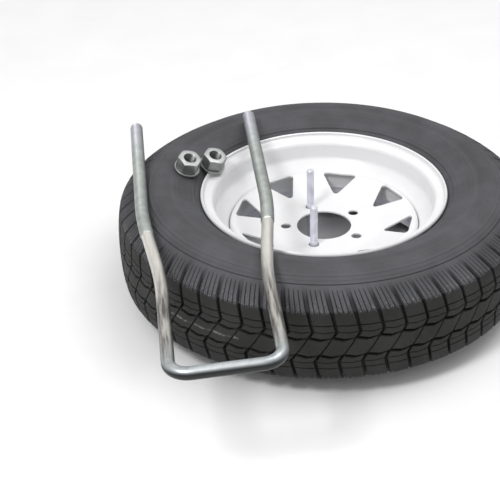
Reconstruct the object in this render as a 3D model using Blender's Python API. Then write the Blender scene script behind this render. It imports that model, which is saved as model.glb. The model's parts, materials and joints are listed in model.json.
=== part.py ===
"""Trailer spare wheel lying flat, with its U-bolt carrier hardware: metres, +Z up.

A 13 in steel spoke wheel and its ST175/80D13 tyre lie outboard face up. A small carrier U-bolt stands
in two of the five stud holes. A larger threaded U-bar lies across the tyre, and its two nuts and
washers rest on the sidewall. Heights are above the surface that the tyre lies on, radii are from the
wheel's axis, and the origin is below the middle of the whole group's bounding box.
"""

import math

import bmesh
import bpy
from mathutils import Matrix, Vector

# Driving dimensions: the whole wheel
WHEEL_AT = Vector((0.0, 0.09117, 0.0))     # the wheel's axis, from the origin
SECTION_WIDTH = 0.177                      # of the tyre, which is its height when it lies flat
TYRE_RADIUS = 0.305
MID = SECTION_WIDTH / 2                    # height of the tyre's and the rim's middle plane
FIT_GAP = 0.0003                           # kept between pieces that touch
TURN_STEPS = 36                            # facets round the tyre, rim and disc

# Rim, 13 x 4.5 J
RIM_SHEET = 0.0028
WELL_RADIUS = 0.1436                       # middle of the sheet
FLANGE_RADIUS = 0.1825
WELL_SLOPE = ((0.1452, 0.0165), (0.1605, 0.0305))   # (radius, height above MID) of its ends

# Disc
DISC_SHEET = 0.004
HUB_FACE_Z = 0.095
HUB_HOLE_RADIUS = 0.0405
STUD_CIRCLE_RADIUS = 0.05715               # five holes on 114.3 mm
STUD_COUNT = 5
STUD_PHASE = math.radians(39.1)
STUD_HOLE_RADIUS = 0.00735
WINDOW_COUNT = 8
WINDOW_PHASE = math.radians(-11.2)
WINDOW_INNER_RADIUS = 0.0915
WINDOW_OUTER_RADIUS = 0.1300
WINDOW_INNER_WIDTH = 0.012
WINDOW_OUTER_WIDTH = 0.052

# Bead wires, square bundles
WIRE_RADIUS = 0.1726                       # middle of the bundle
WIRE_OFFSET = 0.0475                       # from the middle plane
WIRE_SIZE = 0.0072

# Valve: distances along its own axis are from the middle of the rim's sheet, towards the cap
VALVE_ANGLE = math.radians(-124.0)
VALVE_HOLE_RADIUS = 0.00575
VALVE_TUBE_TOP = 0.0236
CORE_TOP = 0.0226
CORE_SHOULDER = 0.0182
CORE_BOTTOM = 0.0160

# Loose U-bar, 3/4 in
BAR_SHANK_RADIUS = 0.0087
BAR_THREAD_RADIUS = 0.009525
BAR_BEND_RADIUS = 0.026
BAR_CROSS_SPACING = 0.1384                 # between the legs' middles beside the crossbar
BAR_LEG_SPACING = 0.176                    # between the threaded legs' middles
BAR_JOG = (0.170, 0.400)                   # where each leg moves outwards, from the crossbar
BAR_THREAD_START = 0.316
BAR_LENGTH = 0.646
BAR_END_CHAMFER = 0.002
BAR_AT = Vector((-0.1142, -0.4725, 0.18235))   # middle of the crossbar, from the wheel's axis
BAR_YAW = math.radians(8.17)
BAR_ROLL = math.radians(-3.0)

# Nuts and washers, 3/4 in heavy hex
NUT_FLATS = 0.03175
NUT_HEIGHT = 0.01865
NUT_BORE_RADIUS = 0.0084
WASHER_RADIUS = 0.01905
WASHER_BORE_RADIUS = 0.0103
WASHER_THICKNESS = 0.0034
NUT_TILT = math.radians(22.0)
NUT_TILT_TOWARDS = math.radians(-38.0)
NUT_SEATS = {
    "left": Vector((-0.2043, 0.0306, 0.1738)),
    "right": Vector((-0.1694, 0.0635, 0.1608)),
}

# Carrier U-bolt that stands in the stud holes, 7/16 in
CARRIER_RADIUS = 0.00555
CARRIER_BEND_RADIUS = 0.016
CARRIER_HEIGHT = 0.159
CARRIER_END_CHAMFER = 0.0012
CARRIER_HOLES = (1, 3)                     # counted from STUD_PHASE

ZINC = ((0.56, 0.57, 0.54), 0.42, 1.0)
WHITE_PAINT = ((0.86, 0.86, 0.87), 0.3, 0.0)
TYRE_RUBBER = ((0.035, 0.035, 0.037), 0.75, 0.0)
BLACK_RUBBER = ((0.02, 0.02, 0.02), 0.6, 0.0)
BRASS = ((0.60, 0.44, 0.17), 0.35, 1.0)
BRONZED_WIRE = ((0.45, 0.30, 0.16), 0.4, 1.0)
SPRING_STEEL = ((0.5, 0.5, 0.5), 0.3, 1.0)
BLACK_PLASTIC = ((0.03, 0.03, 0.03), 0.45, 0.0)
WHITE_PLASTIC = ((0.80, 0.80, 0.78), 0.4, 0.0)


def clear_scene():
    for thing in list(bpy.data.objects):
        bpy.data.objects.remove(thing, do_unlink=True)


def frame_at(name, matrix, parent=None):
    """An empty that carries pieces. Its matrix is relative to its parent."""
    empty = bpy.data.objects.new(name, None)
    bpy.context.scene.collection.objects.link(empty)
    empty.parent = parent
    empty.matrix_basis = matrix
    return empty


def place(name, data, look, parent):
    """Links one piece under its frame, with its own material."""
    colour, roughness, metallic = look
    material = bpy.data.materials.new(name)
    material.use_nodes = True
    shader = material.node_tree.nodes["Principled BSDF"]
    shader.inputs["Base Color"].default_value = (*colour, 1.0)
    shader.inputs["Roughness"].default_value = roughness
    shader.inputs["Metallic"].default_value = metallic
    data.materials.append(material)
    piece = bpy.data.objects.new(name, data)
    bpy.context.scene.collection.objects.link(piece)
    piece.parent = parent
    return piece


def finish_mesh(name, mesh_builder):
    """Writes a bmesh out with its faces pointing outwards, shaded smooth up to 35 degrees."""
    bmesh.ops.recalc_face_normals(mesh_builder, faces=mesh_builder.faces)
    data = bpy.data.meshes.new(name)
    mesh_builder.to_mesh(data)
    mesh_builder.free()
    data.shade_smooth()
    data.set_sharp_from_angle(angle=math.radians(35))
    return data


def turned(name, outline, steps):
    """A closed outline of (radius, height) points, turned round Z."""
    shape = bmesh.new()
    points = [shape.verts.new((radius, 0, height)) for radius, height in outline]
    edges = [shape.edges.new((a, b)) for a, b in zip(points, points[1:] + points[:1])]
    bmesh.ops.spin(
        shape, geom=points + edges, cent=(0, 0, 0), axis=(0, 0, 1),
        angle=2 * math.pi, steps=steps, use_merge=True,
    )
    bmesh.ops.remove_doubles(shape, verts=shape.verts, dist=1e-6)
    bmesh.ops.delete(shape, geom=[e for e in shape.edges if not e.link_faces], context="EDGES")
    return finish_mesh(name, shape)


def ring(name, inner, outer, low, high, steps):
    return turned(name, [(inner, low), (outer, low), (outer, high), (inner, high)], steps)


def sheet_outline(middle, thickness):
    """The closed outline of a sheet that follows a line of (radius, height) points."""
    points = [Vector(p) for p in middle]
    sides = ([], [])
    for i, point in enumerate(points):
        before = (point - points[i - 1]).normalized() if i else None
        after = (points[i + 1] - point).normalized() if i + 1 < len(points) else None
        along = ((before or after) + (after or before)).normalized()
        normal = Vector((-along.y, along.x))
        reach = thickness / 2 / max(0.5, along.dot(after or before))
        sides[0].append(point + normal * reach)
        sides[1].append(point - normal * reach)
    return [tuple(p) for p in sides[0] + sides[1][::-1]]


def prisms(name, outlines, low, high):
    """Upright prisms over closed (x, y) outlines, in one mesh."""
    shape = bmesh.new()
    for outline in outlines:
        face = shape.faces.new([shape.verts.new((x, y, low)) for x, y in outline])
        raised = bmesh.ops.extrude_face_region(shape, geom=[face])["geom"]
        top = [v for v in raised if isinstance(v, bmesh.types.BMVert)]
        bmesh.ops.translate(shape, verts=top, vec=(0, 0, high - low))
    return finish_mesh(name, shape)


def cut(piece, cutter_data, parent, operation="DIFFERENCE"):
    """Shapes a piece with a hidden cutter that stands under the parent's frame."""
    cutter = bpy.data.objects.new(cutter_data.name, cutter_data)
    bpy.context.scene.collection.objects.link(cutter)
    cutter.parent = parent
    cutter.hide_render = True
    cutter.display_type = "WIRE"
    boolean = piece.modifiers.new(cutter_data.name, "BOOLEAN")
    boolean.operation = operation
    boolean.object = cutter


def arc(middle, radius, start, end, steps):
    """Points on a circular arc, from one angle to another in degrees."""
    angles = [math.radians(start + (end - start) * i / steps) for i in range(steps + 1)]
    return [(middle[0] + radius * math.cos(a), middle[1] + radius * math.sin(a)) for a in angles]


def rod(name, points, radii, sides_setting):
    """A round rod along 3-D points, with a radius at each point and closed ends."""
    curve = bpy.data.curves.new(name, "CURVE")
    curve.dimensions = "3D"
    curve.bevel_depth = 1.0
    curve.bevel_resolution = sides_setting
    curve.use_fill_caps = True
    line = curve.splines.new("POLY")
    line.points.add(len(points) - 1)
    for node, point, radius in zip(line.points, points, radii):
        node.co = (*point, 1.0)
        node.radius = radius
    return curve


def tyre_outline():
    """The tyre's section: the outboard side from bead to crown, its mirror image, and the inside."""
    outside = [
        (0.1650, 0.0385), (0.1664, 0.0530), (0.1684, 0.0558), (0.1720, 0.0570), (0.1778, 0.0584),
        (0.1826, 0.0612), (0.1850, 0.0645), (0.1920, 0.0703), (0.2000, 0.0762), (0.2150, 0.0836),
        (0.2270, 0.0874), (0.2380, MID), (0.2520, 0.0842), (0.2640, 0.0780), (0.2850, 0.0657),
        (0.2965, 0.0566), (0.3012, 0.0480), (0.3040, 0.0300), (TYRE_RADIUS, 0.0),
    ]
    pocket = WIRE_SIZE / 2 + FIT_GAP
    near, far = WIRE_RADIUS - pocket, WIRE_RADIUS + pocket
    low, high = WIRE_OFFSET - pocket, WIRE_OFFSET + pocket
    slit = (far - 0.0006, far - 0.0012)
    inside = [
        (0.2945, 0.0), (0.2930, 0.0330), (0.2860, 0.0510), (0.2600, 0.0695), (0.2380, 0.0775),
        (0.2150, 0.0720), (0.1900, 0.0550), (0.1800, 0.0430), (slit[0], 0.0409),
        (slit[0], low), (far, low), (far, high), (near, high), (near, low),
        (slit[1], low), (slit[1], 0.0406), (0.1690, 0.0375),
    ]
    loop = outside + [(r, -u) for r, u in outside[-2::-1]]
    loop += [(r, -u) for r, u in inside[:0:-1]] + inside
    return [(r, MID + u) for r, u in loop]


def rim_outline():
    """The rim's sheet: flange lip, bead seat, well, and back up to the other lip."""
    lip = FLANGE_RADIUS - RIM_SHEET / 2
    flange = [
        (lip - 0.0014, 0.0680), (lip, 0.0660), (0.1806, 0.0630), (0.1773, 0.0602), (0.1720, 0.0588),
        (0.1665, 0.0575), (0.1646, 0.0540),
    ]
    outboard = [(0.1626, 0.0340), *WELL_SLOPE[::-1], (WELL_RADIUS, 0.0135)]
    inboard = [(WELL_RADIUS, -0.0220), (0.1600, -0.0360), (0.1626, -0.0395)]
    line = flange + outboard + inboard + [(r, -u) for r, u in flange[::-1]]
    return [(r, MID + u) for r, u in sheet_outline(line, RIM_SHEET)]


def disc_outline():
    """The disc's sheet, from the hub hole over the raised spoke zone to the welded skirt."""
    face = HUB_FACE_Z - DISC_SHEET / 2
    skirt = WELL_RADIUS - RIM_SHEET / 2 - FIT_GAP - DISC_SHEET / 2
    line = [
        (HUB_HOLE_RADIUS, face), (0.0800, face), (0.0860, face + 0.0008), (0.0925, face + 0.0028),
        (0.1285, face + 0.0163), (0.1330, face + 0.0162), (0.1375, face + 0.0120),
        (skirt, face + 0.0040), (skirt, face - 0.0120),
    ]
    return sheet_outline(line, DISC_SHEET)


def window_outline(angle):
    """One rounded triangle with its narrow end towards the hub, as seen from above."""
    corner, steps = 0.0055, 3
    inner, outer = WINDOW_INNER_RADIUS, WINDOW_OUTER_RADIUS
    half_in, half_out = WINDOW_INNER_WIDTH / 2, WINDOW_OUTER_WIDTH / 2
    outline = arc((outer - corner, -half_out + corner), corner, -70, -5, steps)
    outline += arc((outer - corner, half_out - corner), corner, 5, 70, steps)
    outline += arc((inner + half_in, 0), half_in, 115, 245, steps)
    turn = Matrix.Rotation(angle, 2)
    return [tuple(turn @ Vector(p)) for p in outline]


def wheel_and_tyre(wheel):
    place("tyre", turned("tyre", tyre_outline(), TURN_STEPS), TYRE_RUBBER, wheel)
    half = WIRE_SIZE / 2
    for side, name in ((1, "bead_wire_outboard"), (-1, "bead_wire_inboard")):
        middle = MID + side * WIRE_OFFSET
        bundle = ring(
            name, WIRE_RADIUS - half, WIRE_RADIUS + half, middle - half, middle + half, TURN_STEPS
        )
        place(name, bundle, BRONZED_WIRE, wheel)

    rim = place("wheel_rim", turned("wheel_rim", rim_outline(), TURN_STEPS), WHITE_PAINT, wheel)
    disc = place("wheel_disc", turned("wheel_disc", disc_outline(), TURN_STEPS), WHITE_PAINT, wheel)
    windows = [
        window_outline(WINDOW_PHASE + 2 * math.pi * i / WINDOW_COUNT) for i in range(WINDOW_COUNT)
    ]
    cut(disc, prisms("window_cutter", windows, 0.080, 0.130), wheel)
    holes = [arc(stud_point(i), STUD_HOLE_RADIUS, 0, 345, 23) for i in range(STUD_COUNT)]
    cut(disc, prisms("stud_hole_cutter", holes, 0.080, 0.110), wheel)
    return rim


def stud_point(i):
    angle = STUD_PHASE + 2 * math.pi * i / STUD_COUNT
    return (STUD_CIRCLE_RADIUS * math.cos(angle), STUD_CIRCLE_RADIUS * math.sin(angle))


def valve_matrix():
    """From the valve's own axis, +Z towards the cap, to the wheel: square to the rim's sloping sheet."""
    low, high = (Vector((radius, 0, MID + height)) for radius, height in WELL_SLOPE)
    slope = math.atan2(high.z - low.z, high.x - low.x)
    square = Matrix.Translation((low + high) / 2) @ Matrix.Rotation(-slope, 4, "Y")
    return Matrix.Rotation(VALVE_ANGLE, 4, "Z") @ square


def valve(wheel, rim):
    """A snap-in tyre valve: rubber body, brass tube, screwed-in core with its sprung pin, and cap."""
    axis = frame_at("valve_axis", valve_matrix(), wheel)
    hole = prisms("valve_hole_cutter", [arc((0, 0), VALVE_HOLE_RADIUS, 0, 345, 23)], -0.006, 0.006)
    cut(rim, hole, axis)

    tube_outer, thread_outer, core_bore, air_bore = 0.0030, 0.00385, 0.0026, 0.0017
    body = [
        (0.0033, -0.0090), (0.0045, -0.0090), (0.0074, -0.0046), (0.0078, -0.0028),
        (0.0076, -0.0024), (0.0053, -0.0023), (0.0053, 0.0020), (0.0068, 0.0021),
        (0.0070, 0.0032), (0.0052, 0.0130), (0.0033, 0.0136),
    ]
    place("valve_rubber", turned("valve_rubber", body, 20), BLACK_RUBBER, axis)
    tube = [
        (air_bore, -0.0070), (tube_outer, -0.0070), (tube_outer, 0.0140), (thread_outer, 0.0144),
        (thread_outer, VALVE_TUBE_TOP - 0.0005), (thread_outer - 0.0005, VALVE_TUBE_TOP),
        (core_bore, VALVE_TUBE_TOP), (core_bore, 0.0125), (air_bore, 0.0118),
    ]
    place("valve_tube", turned("valve_tube", tube, 20), BRASS, axis)
    barrel_outer, groove = core_bore - FIT_GAP, 0.0016
    ring_low, ring_high = CORE_BOTTOM + 0.0005, CORE_SHOULDER - 0.0003
    core = [
        (0.00085, CORE_BOTTOM), (barrel_outer, CORE_BOTTOM), (barrel_outer, ring_low),
        (groove, ring_low), (groove, ring_high), (barrel_outer, ring_high),
        (barrel_outer, CORE_TOP), (0.0016, CORE_TOP), (0.0016, CORE_SHOULDER), (0.00085, CORE_SHOULDER),
    ]
    place("valve_core_barrel", turned("valve_core_barrel", core, 16), BRASS, axis)
    core_ring = ring(
        "valve_core_ring", groove + 0.0002, core_bore - 0.00015, ring_low + 0.0002, ring_high - 0.0002, 16
    )
    place("valve_core_ring", core_ring, WHITE_PLASTIC, axis)

    collar_low, seal_top = 0.0216, CORE_BOTTOM - FIT_GAP
    seal_low = seal_top - 0.0016
    pin = [
        (0, seal_low - 0.0010), (0.0010, seal_low - 0.0010), (0.0010, seal_low - 0.0002),
        (0.0005, seal_low - 0.0001), (0.0005, collar_low), (0.0011, collar_low + 0.0001),
        (0.0011, CORE_TOP - 0.0002), (0.0005, CORE_TOP), (0.0005, 0.0233), (0, 0.0234),
    ]
    place("valve_pin", turned("valve_pin", pin, 12), BRASS, axis)
    seal = ring("valve_seal", 0.0007, 0.0014, seal_low, seal_top, 16)
    place("valve_seal", seal, BLACK_RUBBER, axis)

    coil_radius, wire, turns, steps = 0.0011, 0.00014, 4, 40
    low, high = CORE_SHOULDER + 0.0004, collar_low - 0.0004
    coil = []
    for i in range(steps + 1):
        angle = 2 * math.pi * turns * i / steps
        height = low + (high - low) * i / steps
        coil.append((coil_radius * math.cos(angle), coil_radius * math.sin(angle), height))
    place("valve_spring", rod("valve_spring", coil, [wire] * len(coil), 1), SPRING_STEEL, axis)

    cap_bore, cap_outer, roof = thread_outer + 0.0004, 0.0053, 0.0248
    cap = [
        (cap_bore, 0.0150), (cap_outer, 0.0150), (cap_outer, 0.0254), (cap_outer - 0.0006, 0.0262),
        (0, 0.0262), (0, roof), (cap_bore, roof),
    ]
    place("valve_cap", turned("valve_cap", cap, 20), BLACK_PLASTIC, axis)
    gasket = ring("valve_cap_gasket", 0.0022, 0.0038, VALVE_TUBE_TOP + FIT_GAP, roof - FIT_GAP, 20)
    place("valve_cap_gasket", gasket, BLACK_RUBBER, axis)


def smooth_step(t):
    t = min(1.0, max(0.0, t))
    return t * t * (3 - 2 * t)


def leg_offset(distance):
    """How far a leg's middle is from the U-bar's middle line, at a distance from the crossbar."""
    start, end = BAR_JOG
    share = smooth_step((distance - start) / (end - start))
    return (BAR_CROSS_SPACING + (BAR_LEG_SPACING - BAR_CROSS_SPACING) * share) / 2


def u_bar(wheel):
    """One rod bent to a U, with its legs stepped outwards before their threads."""
    bend, half = BAR_BEND_RADIUS, BAR_CROSS_SPACING / 2
    right = [(0.0, 0.0, BAR_SHANK_RADIUS)]
    right += [(x, y, BAR_SHANK_RADIUS) for x, y in arc((half - bend, bend), bend, -90, 0, 6)]
    shank = [0.1, 0.17, 0.2, 0.23, 0.26, 0.29, BAR_THREAD_START]
    right += [(leg_offset(d), d, BAR_SHANK_RADIUS) for d in shank]
    thread = [BAR_THREAD_START + 0.001, 0.36, 0.40, 0.5, 0.6, BAR_LENGTH - BAR_END_CHAMFER]
    right += [(leg_offset(d), d, BAR_THREAD_RADIUS) for d in thread]
    right.append((leg_offset(BAR_LENGTH), BAR_LENGTH, BAR_THREAD_RADIUS - BAR_END_CHAMFER))
    route = [(-x, y, radius) for x, y, radius in right[:0:-1]] + right
    points = [(x, y, 0.0) for x, y, _ in route]
    lean = Matrix.Rotation(BAR_YAW, 4, "Z") @ Matrix.Rotation(BAR_ROLL, 4, "Y")
    seat = frame_at("u_bar_seat", Matrix.Translation(BAR_AT) @ lean, wheel)
    place("u_bar", rod("u_bar", points, [radius for _, _, radius in route], 4), ZINC, seat)


def nuts_and_washers(wheel):
    for side, seat_point in NUT_SEATS.items():
        turn = Matrix.Rotation(NUT_TILT_TOWARDS, 4, "Z")
        lean = turn @ Matrix.Rotation(NUT_TILT, 4, "Y") @ turn.inverted()
        seat = frame_at(f"nut_seat_{side}", Matrix.Translation(seat_point) @ lean, wheel)
        washer = ring(
            f"washer_{side}", WASHER_BORE_RADIUS, WASHER_RADIUS, 0.0, WASHER_THICKNESS, 28
        )
        place(f"washer_{side}", washer, ZINC, seat)
        nut(side, seat)


def nut(side, seat):
    """A hexagon cut from a turned blank, so that its corners are chamfered top and bottom."""
    name, low = f"nut_{side}", WASHER_THICKNESS + FIT_GAP
    high = low + NUT_HEIGHT
    corner = NUT_FLATS / math.sqrt(3)
    chamfer_radius, chamfer_drop = NUT_FLATS / 2 * 0.96, 0.0020
    countersink = NUT_BORE_RADIUS + 0.0014
    blank = [
        (NUT_BORE_RADIUS, low + 0.0012), (countersink, low), (chamfer_radius, low),
        (corner + 0.001, low + chamfer_drop), (corner + 0.001, high - chamfer_drop),
        (chamfer_radius, high), (countersink, high), (NUT_BORE_RADIUS, high - 0.0012),
    ]
    piece = place(name, turned(name, blank, 24), ZINC, seat)
    hexagon = arc((0, 0), corner, 10, 310, 5)
    keep = prisms(f"{name}_hexagon", [hexagon], low - 0.001, high + 0.001)
    cut(piece, keep, seat, "INTERSECT")


def carrier_u_bolt(wheel):
    """A plain U-bolt on the ground under the disc, its legs up through two stud holes."""
    first, second = (Vector((*stud_point(i), 0.0)) for i in CARRIER_HOLES)
    across = (second - first).normalized()
    tip, turn_end = CARRIER_HEIGHT, CARRIER_BEND_RADIUS + CARRIER_RADIUS
    half = [(0.0, tip), (0.0, tip - CARRIER_END_CHAMFER), (0.0, 0.08)]
    half += arc((CARRIER_BEND_RADIUS, turn_end), CARRIER_BEND_RADIUS, 180, 270, 5)
    left = [first + across * inwards + Vector((0, 0, height)) for inwards, height in half]
    right = [second - across * inwards + Vector((0, 0, height)) for inwards, height in half]
    radii = [CARRIER_RADIUS - CARRIER_END_CHAMFER] + [CARRIER_RADIUS] * (len(half) - 1)
    bolt = rod("carrier_u_bolt", left + right[::-1], radii + radii[::-1], 3)
    place("carrier_u_bolt", bolt, ZINC, wheel)


def build():
    clear_scene()
    wheel = frame_at("wheel_axis", Matrix.Translation(WHEEL_AT))
    rim = wheel_and_tyre(wheel)
    valve(wheel, rim)
    u_bar(wheel)
    nuts_and_washers(wheel)
    carrier_u_bolt(wheel)


build()
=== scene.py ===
"""Looks of the trailer spare wheel and its U-bolt carrier hardware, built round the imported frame.

Every CAD node is replaced by a fine mesh of the same size in the same place. Lengths are metres, +Z is up,
and radii are from the wheel's axis unless a comment says otherwise. Heights in the tyre, rim and disc are
above the wheel's middle plane.
"""

import json
import math

import bmesh
import bpy
import numpy as np
from mathutils import Matrix, Vector


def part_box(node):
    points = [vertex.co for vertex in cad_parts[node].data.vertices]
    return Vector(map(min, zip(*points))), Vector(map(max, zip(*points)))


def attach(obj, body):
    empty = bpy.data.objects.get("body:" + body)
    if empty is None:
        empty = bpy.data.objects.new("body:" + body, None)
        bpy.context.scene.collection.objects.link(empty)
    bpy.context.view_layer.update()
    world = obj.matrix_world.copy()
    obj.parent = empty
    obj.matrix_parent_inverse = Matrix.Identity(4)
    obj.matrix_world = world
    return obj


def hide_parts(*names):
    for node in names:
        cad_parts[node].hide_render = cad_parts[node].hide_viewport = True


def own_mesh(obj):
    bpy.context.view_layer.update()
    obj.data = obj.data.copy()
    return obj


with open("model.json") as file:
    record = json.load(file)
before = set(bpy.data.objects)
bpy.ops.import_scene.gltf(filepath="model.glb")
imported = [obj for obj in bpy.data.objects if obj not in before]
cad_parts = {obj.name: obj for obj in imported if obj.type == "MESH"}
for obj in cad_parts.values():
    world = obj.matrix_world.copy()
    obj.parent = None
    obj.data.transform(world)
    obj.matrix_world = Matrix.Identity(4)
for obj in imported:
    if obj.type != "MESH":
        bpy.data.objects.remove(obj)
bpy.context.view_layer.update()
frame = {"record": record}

RECORD = frame["record"]
BODY_OF = {node: body for body, nodes in RECORD["behaviour"]["bodies"].items() for node in nodes}

# Driving dimensions, from the frame
TYRE_LOW, TYRE_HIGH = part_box("tyre")
WHEEL = Matrix.Translation(((TYRE_LOW.x + TYRE_HIGH.x) / 2, (TYRE_LOW.y + TYRE_HIGH.y) / 2, 0.0))
TYRE_RADIUS = (TYRE_HIGH.y - TYRE_LOW.y) / 2
MID = (TYRE_LOW.z + TYRE_HIGH.z) / 2
TO_MID = WHEEL @ Matrix.Translation((0, 0, MID))

# Wheel
RIM_SHEET = 0.0028
WELL_RADIUS = 0.1436
WELL_SLOPE = ((0.1452, 0.0165), (0.1605, 0.0305))  # (radius, height) of the slope that holds the valve
FLANGE_RADIUS = 0.1825
DISC_SHEET = 0.004
HUB_FACE = 0.095 - MID
HUB_HOLE_RADIUS = 0.0405
STUD_CIRCLE_RADIUS = 0.05715
STUD_COUNT = 5
STUD_PHASE = math.radians(39.1)
STUD_HOLE_RADIUS = 0.00735
WINDOW_COUNT = 8
WINDOW_PHASE = math.radians(-11.2)
WINDOW_INNER_RADIUS = 0.0915
WINDOW_OUTER_RADIUS = 0.1300
WINDOW_INNER_HALF = 0.0060  # half of its width there
WINDOW_OUTER_HALF = 0.0260
WINDOW_CORNER = 0.0072

# U-bar: distances are along a leg, from the crossbar
BAR_SHANK_RADIUS = 0.0087
BAR_SHANK_TRIM = 0.00025  # keeps the finer rod within the frame's box
BAR_THREAD_RADIUS = 0.009525
BAR_THREAD_ROOT = 0.00795
BAR_THREAD_PITCH = 0.00254
BAR_END_CHAMFER = 0.0022
BAR_BEND_RADIUS = 0.026
BAR_CROSS_SPACING = 0.1384
BAR_LEG_SPACING = 0.176
BAR_JOG = (0.170, 0.400)
BAR_THREAD_START = 0.316
BAR_LENGTH = 0.646
BAR_AT = Vector((-0.1142, -0.4725, 0.18235))
BAR_YAW = math.radians(8.17)
BAR_ROLL = math.radians(-3.0)

# Nuts and washers
NUT_FLATS = 0.03175
NUT_HEIGHT = 0.01865
NUT_BORE_RADIUS = 0.0084
NUT_CORNER_AT = math.radians(10)
WASHER_RADIUS = 0.01905
WASHER_BORE_RADIUS = 0.0103
WASHER_THICKNESS = 0.0034
NUT_TILT = math.radians(22.0)
NUT_TILT_TOWARDS = math.radians(-38.0)
NUT_AXIS = Vector((0, math.sin(NUT_TILT), math.cos(NUT_TILT)))
NUT_AXIS.rotate(Matrix.Rotation(NUT_TILT_TOWARDS - math.pi / 2, 3, "Z"))
NUT_SEATS = {
    "left": Vector((-0.2043, 0.0306, 0.1738)),
    "right": Vector((-0.1694, 0.0635, 0.1608)),
}

# Carrier U-bolt
CARRIER_RADIUS = 0.00555
CARRIER_SHANK_RADIUS = 0.0054
CARRIER_THREAD_ROOT = 0.0048
CARRIER_THREAD_LENGTH = 0.060
CARRIER_THREAD_PITCH = 0.00127
CARRIER_END_CHAMFER = 0.0014
CARRIER_BEND_RADIUS = 0.016
CARRIER_HEIGHT = 0.159
CARRIER_HOLES = (1, 3)

# Valve: heights are along its own axis, from the rim's sheet
VALVE_HOLE_RADIUS = 0.00575
VALVE_ANGLE = math.radians(-124.0)
VALVE_TUBE_TOP = 0.0236
VALVE_THREAD_START = 0.0144
VALVE_ROOF = 0.0248  # the underside of the cap's top
CORE_TOP = 0.0226
CORE_SHOULDER = 0.0182
CORE_BOTTOM = 0.0160

GAP = 0.0003  # between pieces that touch
ROD_STEP = 0.004  # between a rod's rings


# -------- mesh tools


def grid_faces(rows, columns, wrap_rows=False, first=0):
    """Quads over a grid of points that is numbered row by row, whose columns close into a ring."""
    row, column = np.meshgrid(
        np.arange(rows if wrap_rows else rows - 1), np.arange(columns), indexing="ij",
    )
    next_row, next_column = (row + 1) % rows, (column + 1) % columns
    corners = [
        row * columns + column, row * columns + next_column,
        next_row * columns + next_column, next_row * columns + column,
    ]
    return first + np.stack(corners, axis=-1).reshape(-1, 4)


def capped_faces(rows, columns):
    """Quads over a grid whose columns close into a ring, with a face over each end."""
    last = (rows - 1) * columns
    ends = [list(range(columns))[::-1], list(range(last, last + columns))]
    return grid_faces(rows, columns).tolist() + ends


def new_mesh(name, points, faces, matrix=Matrix.Identity(4), sharp=35.0, **attributes):
    """An object over points and faces: merged where points meet, faces outwards, smooth below an angle."""
    data = bpy.data.meshes.new(name)
    data.from_pydata(np.asarray(points).reshape(-1, 3).tolist(), [], [list(map(int, f)) for f in faces])
    for key, values in attributes.items():
        data.attributes.new(key, "FLOAT", "POINT").data.foreach_set("value", np.ravel(values).tolist())
    work = bmesh.new()
    work.from_mesh(data)
    bmesh.ops.remove_doubles(work, verts=work.verts, dist=2e-6)
    bmesh.ops.dissolve_degenerate(work, edges=work.edges, dist=1e-7)
    bmesh.ops.recalc_face_normals(work, faces=work.faces)
    work.to_mesh(data)
    work.free()
    data.transform(matrix)
    data.shade_smooth()
    data.set_sharp_from_angle(angle=math.radians(sharp))
    piece = bpy.data.objects.new(name, data)
    bpy.context.scene.collection.objects.link(piece)
    return piece


def stand_for(piece, node, material):
    """The piece shows in place of a CAD node, and moves with that node's body."""
    piece.data.materials.append(material)
    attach(piece, BODY_OF[node])
    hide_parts(node)


def rounded(outline, radius, steps, closed=True):
    """An outline of 2-D points with each corner replaced by a short curve."""
    points = [Vector(p) for p in outline]
    result = []
    for i, corner in enumerate(points):
        if not closed and i in (0, len(points) - 1):
            result.append(corner)
            continue
        back, ahead = points[i - 1] - corner, points[(i + 1) % len(points)] - corner
        turn = math.pi - back.angle(ahead)
        if turn < 0.03:
            result.append(corner)
            continue
        reach = min(radius * math.tan(turn / 2), 0.45 * back.length, 0.45 * ahead.length)
        start, end = corner + back.normalized() * reach, corner + ahead.normalized() * reach
        for k in range(steps + 1):
            t = k / steps
            result.append(start * (1 - t) ** 2 + corner * (2 * t * (1 - t)) + end * t ** 2)
    return [tuple(p) for p in result]


def curve_through(points, steps):
    """A smooth line through 2-D points, with a few steps between each pair."""
    points = np.array(points, float)
    padded = np.vstack([2 * points[0] - points[1], points, 2 * points[-1] - points[-2]])
    result = []
    for i in range(1, len(padded) - 2):
        before, start, end, after = padded[i - 1:i + 3]
        for t in np.linspace(0, 1, steps, endpoint=False):
            result.append(0.5 * (
                2 * start + (end - before) * t + (2 * before - 5 * start + 4 * end - after) * t ** 2
                + (3 * start - before - 3 * end + after) * t ** 3
            ))
    return np.array(result + [points[-1]])


def sheet(middle, thickness):
    """The closed outline of a sheet that follows a line of 2-D points."""
    middle = np.array(middle, float)
    along = np.gradient(middle, axis=0)
    along /= np.linalg.norm(along, axis=1, keepdims=True)
    across = np.stack([-along[:, 1], along[:, 0]], axis=1) * thickness / 2
    return np.vstack([middle + across, (middle - across)[::-1]])


def distances(points):
    """How far along a line each of its points is."""
    return np.concatenate([[0], np.cumsum(np.linalg.norm(np.diff(points, axis=0), axis=1))])


def full_turn(columns):
    """Even angles round a circle."""
    return np.linspace(0, 2 * math.pi, columns, endpoint=False)


def round_z(radius, angle, height):
    """Points in space from grids of radii, angles and heights."""
    return np.stack(np.broadcast_arrays(radius * np.cos(angle), radius * np.sin(angle), height), axis=-1)


def full_rows(rows, columns):
    """Grids of radii and heights, from pairs that are each a number or one for every column."""
    return [np.array([np.ones(columns) * row[k] for row in rows]) for k in (0, 1)]


def ring_piece(name, radius, angle, height, matrix, sharp=35.0, **attributes):
    """A piece over grids of radii, angles and heights that closes both ways."""
    points = round_z(radius, angle, height)
    return new_mesh(name, points, grid_faces(*points.shape[:2], True), matrix, sharp, **attributes)


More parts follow.
